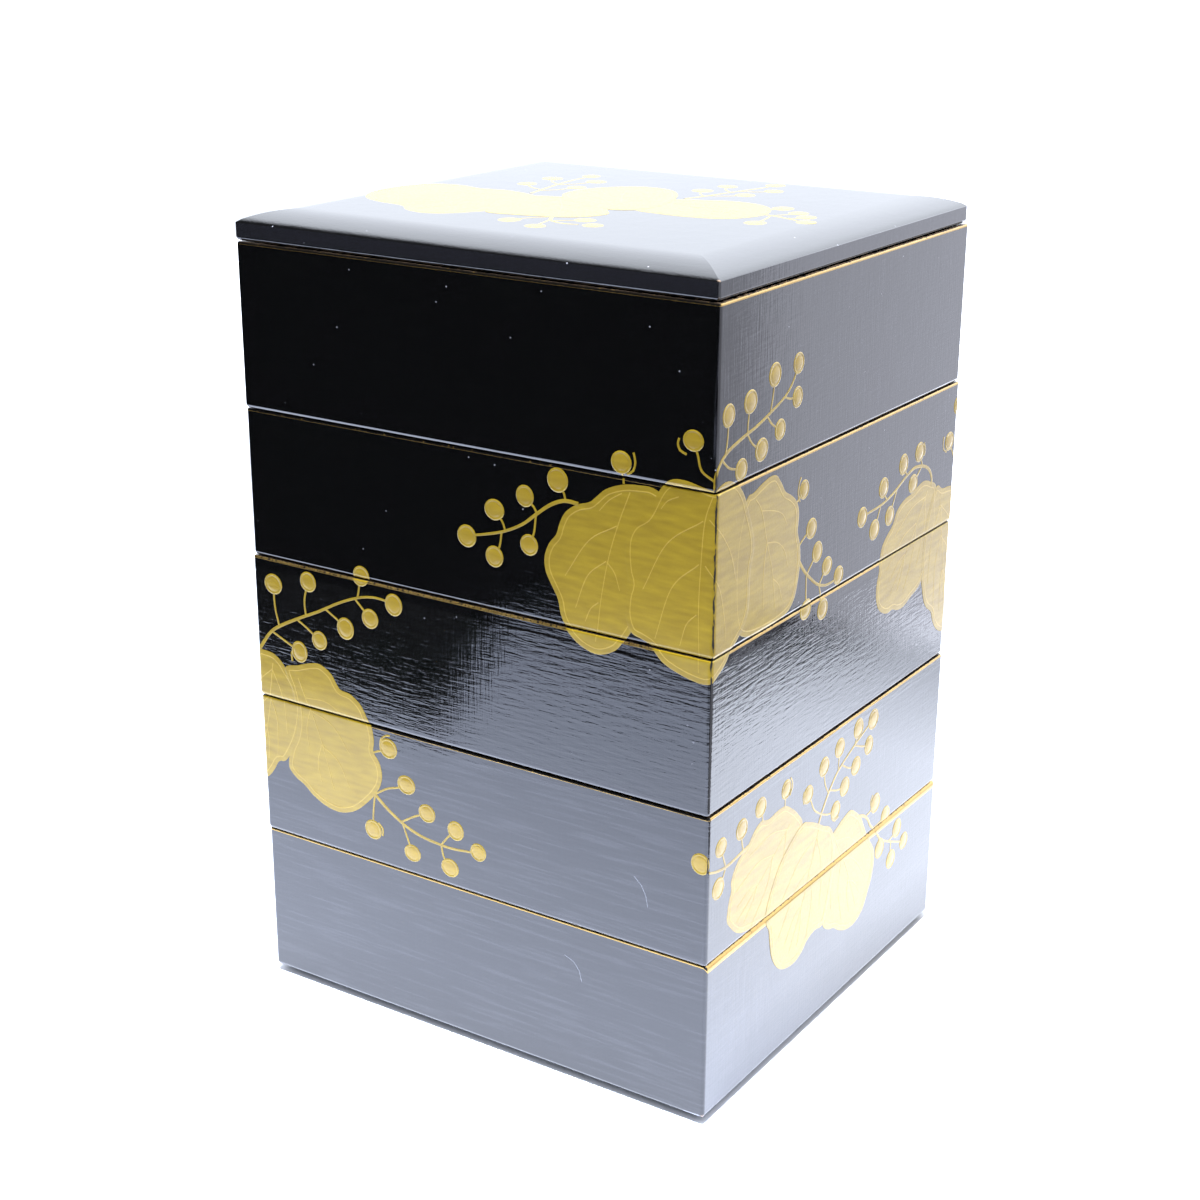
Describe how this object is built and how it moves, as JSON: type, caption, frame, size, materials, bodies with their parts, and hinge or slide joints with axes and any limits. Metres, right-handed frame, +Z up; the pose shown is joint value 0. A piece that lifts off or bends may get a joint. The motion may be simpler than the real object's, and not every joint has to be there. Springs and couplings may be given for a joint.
{
  "type": "stacking food box",
  "caption": "Nearly square lacquered wooden food boxes stacked under one shallow crowned lid, with gold leaf-and-bud sprays trailing over the joints; every piece lifts off.",
  "frame": {"origin": "on the ground, under the middle of the stack's outer box", "axes": "+Z up through the stack, -Y out of the wider wall that faces the picture's left, +X out of the wall that faces the picture's right"},
  "size_m": [0.2446, 0.229, 0.3703],
  "materials": {
    "black_lacquer": "gloss",
    "gold_film": "satin"
  },
  "bodies": {
    "root": {"fifth_tier": "black_lacquer", "fourth_tier": "black_lacquer", "third_tier": "black_lacquer", "second_tier": "black_lacquer", "first_tier": "black_lacquer", "lid": "black_lacquer"}
  },
  "joints": []
}
